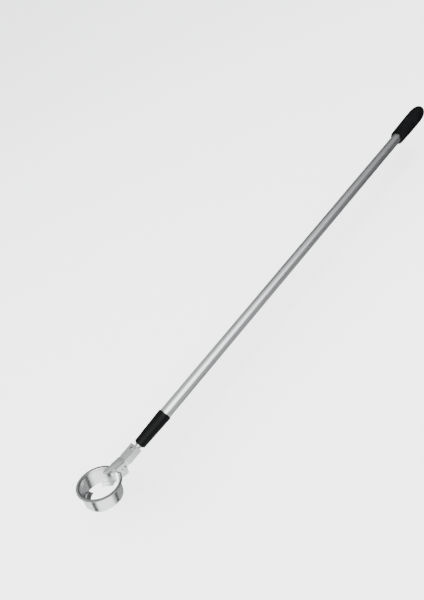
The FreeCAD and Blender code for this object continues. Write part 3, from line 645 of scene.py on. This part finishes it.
class RETRIEVER_OT_rivets(bpy.types.Operator):
    """Finish the rivets and the washer"""

    bl_idname = "retriever.rivets"
    bl_label = "Rivets"

    def execute(self, context):
        wants = context.scene.retriever_head
        bright = plating("rivet_plating", shade(wants.colour, 0.92), 0.18, 0.25)
        # Dark grainy finish for the rivets' rounded edges, also used as painted shade inside the stem
        # rivet's bore
        rolled_edges_and_bore_shade = sheared_finish("rivet_edges_and_bore_shade", shade(wants.colour, 0.42))
        for node, body in (("stem_rivet", "inner_section"), ("hinge_rivet", "inner_section"),
                           ("rivet_washer", "inner_section")):
            piece = softened_copy(node, node + "_formed", body, wants.rivet_round, bright,
                                  rolled_edges_and_bore_shade)
            self.paint_bore_shade(piece, node, wants.rivet_bore)
        return {"FINISHED"}

    def paint_bore_shade(self, piece, node, bore):
        """The inside of a tubular rivet takes the dark grainy edge finish: painted shade in the bore.
        """
        low, high = (Vector(corner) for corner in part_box(node))
        middle = (low + high) / 2
        for face in piece.data.polygons:
            across = face.center - middle
            across.z = 0.0
            # Faces inside the bore get the dark edge finish as painted shade
            if node == "stem_rivet" and across.length < bore / 2 + 0.05 * MM:
                face.material_index = 1


class RETRIEVER_OT_spring(bpy.types.Operator):
    """Finish the hinge spring's wound coil"""

    bl_idname = "retriever.spring"
    bl_label = "Hinge spring"

    def execute(self, context):
        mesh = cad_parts["hinge_spring"].data.copy()
        mesh.materials.clear()
        mesh.materials.append(steel_finish("coil_steel", (0.52, 0.52, 0.53), 0.24))
        smooth(mesh, WIRE_ANGLE)
        piece = bpy.data.objects.new("wound_spring", mesh)
        bpy.context.collection.objects.link(piece)
        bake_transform(piece)
        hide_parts("hinge_spring")
        return {"FINISHED"}


class RETRIEVER_OT_stage(bpy.types.Operator):
    """Set the pale floor, the soft light and the camera"""

    bl_idname = "retriever.stage"
    bl_label = "Stage"

    def execute(self, context):
        wants = context.scene.retriever_stage
        low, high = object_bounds()
        middle = (Vector(low) + Vector(high)) / 2
        self.lay_floor(wants, middle, self.below_swing())
        for name, offset, size, power in (TOP_LIGHT, SIDE_LIGHT):
            self.hang_light(name, middle + Vector(offset), middle, size, power)
        self.light_world(context.scene, wants.brightness)
        self.stand_camera(context.scene, wants)
        return {"FINISHED"}

    def below_swing(self):
        """A height that the cup stays above wherever it turns about its hinge."""
        first, last = (Vector(corner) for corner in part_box("hinge_rivet"))
        hinge = (first + last) / 2
        low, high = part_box("cup")
        reach = max(math.hypot(x - hinge.x, z - hinge.z)
                    for x in (low[0], high[0]) for z in (low[2], high[2]))
        return hinge.z - reach

    def lay_floor(self, wants, middle, height):
        mesh = bpy.data.meshes.new("floor")
        half = wants.floor_size / 2
        corners = [(middle.x + x * half, middle.y + y * half, height - 0.0002)
                   for x, y in ((-1, -1), (1, -1), (1, 1), (-1, 1))]
        mesh.from_pydata(corners, [], [(0, 1, 2, 3)])
        mesh.materials.append(floor_finish(wants.floor_colour))
        floor = bpy.data.objects.new("floor", mesh)
        bpy.context.collection.objects.link(floor)
        floor.visible_glossy = False
        floor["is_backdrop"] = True

    def hang_light(self, name, place, target, size, power):
        lamp = bpy.data.lights.new(name, "AREA")
        lamp.size = size
        lamp.energy = power
        holder = bpy.data.objects.new(name, lamp)
        holder.location = place
        holder.rotation_euler = (target - place).to_track_quat("-Z", "Y").to_euler()
        bpy.context.collection.objects.link(holder)
        holder.visible_glossy = False

    def light_world(self, scene, strength):
        """Soft light from all round, with the dark screens that bright metal mirrors."""
        world = bpy.data.worlds.new("soft_room")
        bench = NodeBench(world)
        way = bench.add("ShaderNodeTexCoord", {}, {}, "Generated")
        x, y, z = (bench.add("ShaderNodeSeparateXYZ", {}, {0: way}, axis) for axis in "XYZ")
        far_end = 1 - 0.90 * bench.ease(x, 0.10, 0.90)
        behind = 1 - 0.35 * bench.ease(y, 0.10, 0.55) * (1 - bench.ease(z, -0.35, 0.05))
        horizon = 1 - 0.45 * (1 - bench.ease(z * z, 0.005, 0.05))
        end_screen = 1 - 0.96 * (1 - bench.ease(y * y, 0.018, 0.045)) * bench.ease(
            0 - x, 0.52, 0.66)
        loft = 1 - 0.55 * bench.ease(y, 0.40, 0.60) * bench.ease(x, 0.20, 0.45) * bench.ease(
            z, 0.10, 0.30)
        beside = x - 0.15
        low_screen = 1 - 0.85 * (1 - bench.ease(beside * beside, 0.003, 0.009)) * bench.ease(
            0 - z, 0.55, 0.68) * bench.ease(0 - y, 0.24, 0.32)
        window = 3.6 * bench.ease(z * 0.81 - y * 0.59, 0.80, 0.95)
        below = 2.3 * bench.ease(0 - x, -0.06, 0.22) * bench.ease(0 - z, 0.10, 0.45)
        above = 0.7 * bench.ease(z, 0.40, 0.75) * (1 - bench.ease(y, 0.15, 0.50))
        mirrored = (0.62 + window + below + above) * far_end * behind * horizon * (
            end_screen * low_screen * loft)
        glossy = bench.add("ShaderNodeLightPath", {}, {}, "Is Glossy Ray")
        room = bench.add("ShaderNodeBackground", {}, {
            "Color": (0.97, 0.985, 1.0),
            "Strength": strength + glossy * (mirrored - strength)})
        seen = bench.add("ShaderNodeBackground", {}, {"Color": (0.97, 0.97, 0.97),
                                                     "Strength": strength})
        camera = bench.add("ShaderNodeLightPath", {}, {}, "Is Camera Ray")
        mixed = bench.add("ShaderNodeMixShader", {}, {0: camera, 1: room, 2: seen})
        bench.add("ShaderNodeOutputWorld", {}, {"Surface": mixed}, None)
        scene.world = world

    def stand_camera(self, scene, wants):
        eye = bpy.data.cameras.new("eye")
        eye.lens = wants.lens
        eye.sensor_width = 36.0
        eye.sensor_fit = "AUTO"
        eye.shift_x, eye.shift_y = CAMERA_SHIFT
        eye.clip_start = 0.01
        holder = bpy.data.objects.new("eye", eye)
        right = CAMERA_RIGHT.normalized()
        back = -CAMERA_AHEAD.normalized()
        up = back.cross(right).normalized()
        turn = Matrix((right, up, back)).transposed().to_4x4()
        stand = Vector((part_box("tube_collar")[0][0], 0.0, 0.0)) + CAMERA_FROM_COLLAR
        holder.matrix_world = Matrix.Translation(stand) @ turn
        bpy.context.collection.objects.link(holder)
        scene.camera = holder


class RETRIEVER_PT_panel(bpy.types.Panel):
    """The pieces of the retriever"""

    bl_label = "Golf ball retriever"
    bl_idname = "RETRIEVER_PT_panel"
    bl_space_type = "VIEW_3D"
    bl_region_type = "UI"
    bl_category = "Retriever"

    def draw(self, context):
        for operator in OPERATORS:
            self.layout.operator(operator.bl_idname)


SETTINGS = {
    "retriever_grip": GripSettings,
    "retriever_collar": CollarSettings,
    "retriever_head": HeadSettings,
    "retriever_pole": PoleSettings,
    "retriever_stage": StageSettings,
}
OPERATORS = (
    RETRIEVER_OT_grip,
    RETRIEVER_OT_collar,
    RETRIEVER_OT_stem,
    RETRIEVER_OT_cup,
    RETRIEVER_OT_pole,
    RETRIEVER_OT_rivets,
    RETRIEVER_OT_spring,
    RETRIEVER_OT_stage,
)


def register():
    for name, group in SETTINGS.items():
        bpy.utils.register_class(group)
        setattr(bpy.types.Scene, name, PointerProperty(type=group))
    for operator in OPERATORS:
        bpy.utils.register_class(operator)
    bpy.utils.register_class(RETRIEVER_PT_panel)


def unregister():
    bpy.utils.unregister_class(RETRIEVER_PT_panel)
    for operator in reversed(OPERATORS):
        bpy.utils.unregister_class(operator)
    for name, group in reversed(SETTINGS.items()):
        delattr(bpy.types.Scene, name)
        bpy.utils.unregister_class(group)


def plain(box):
    return [[float(value) for value in corner] for corner in box]


def main():
    register()
    for operator in OPERATORS:
        family, piece = operator.bl_idname.split(".")
        getattr(getattr(bpy.ops, family), piece)()


if __name__ == "__main__":
    main()
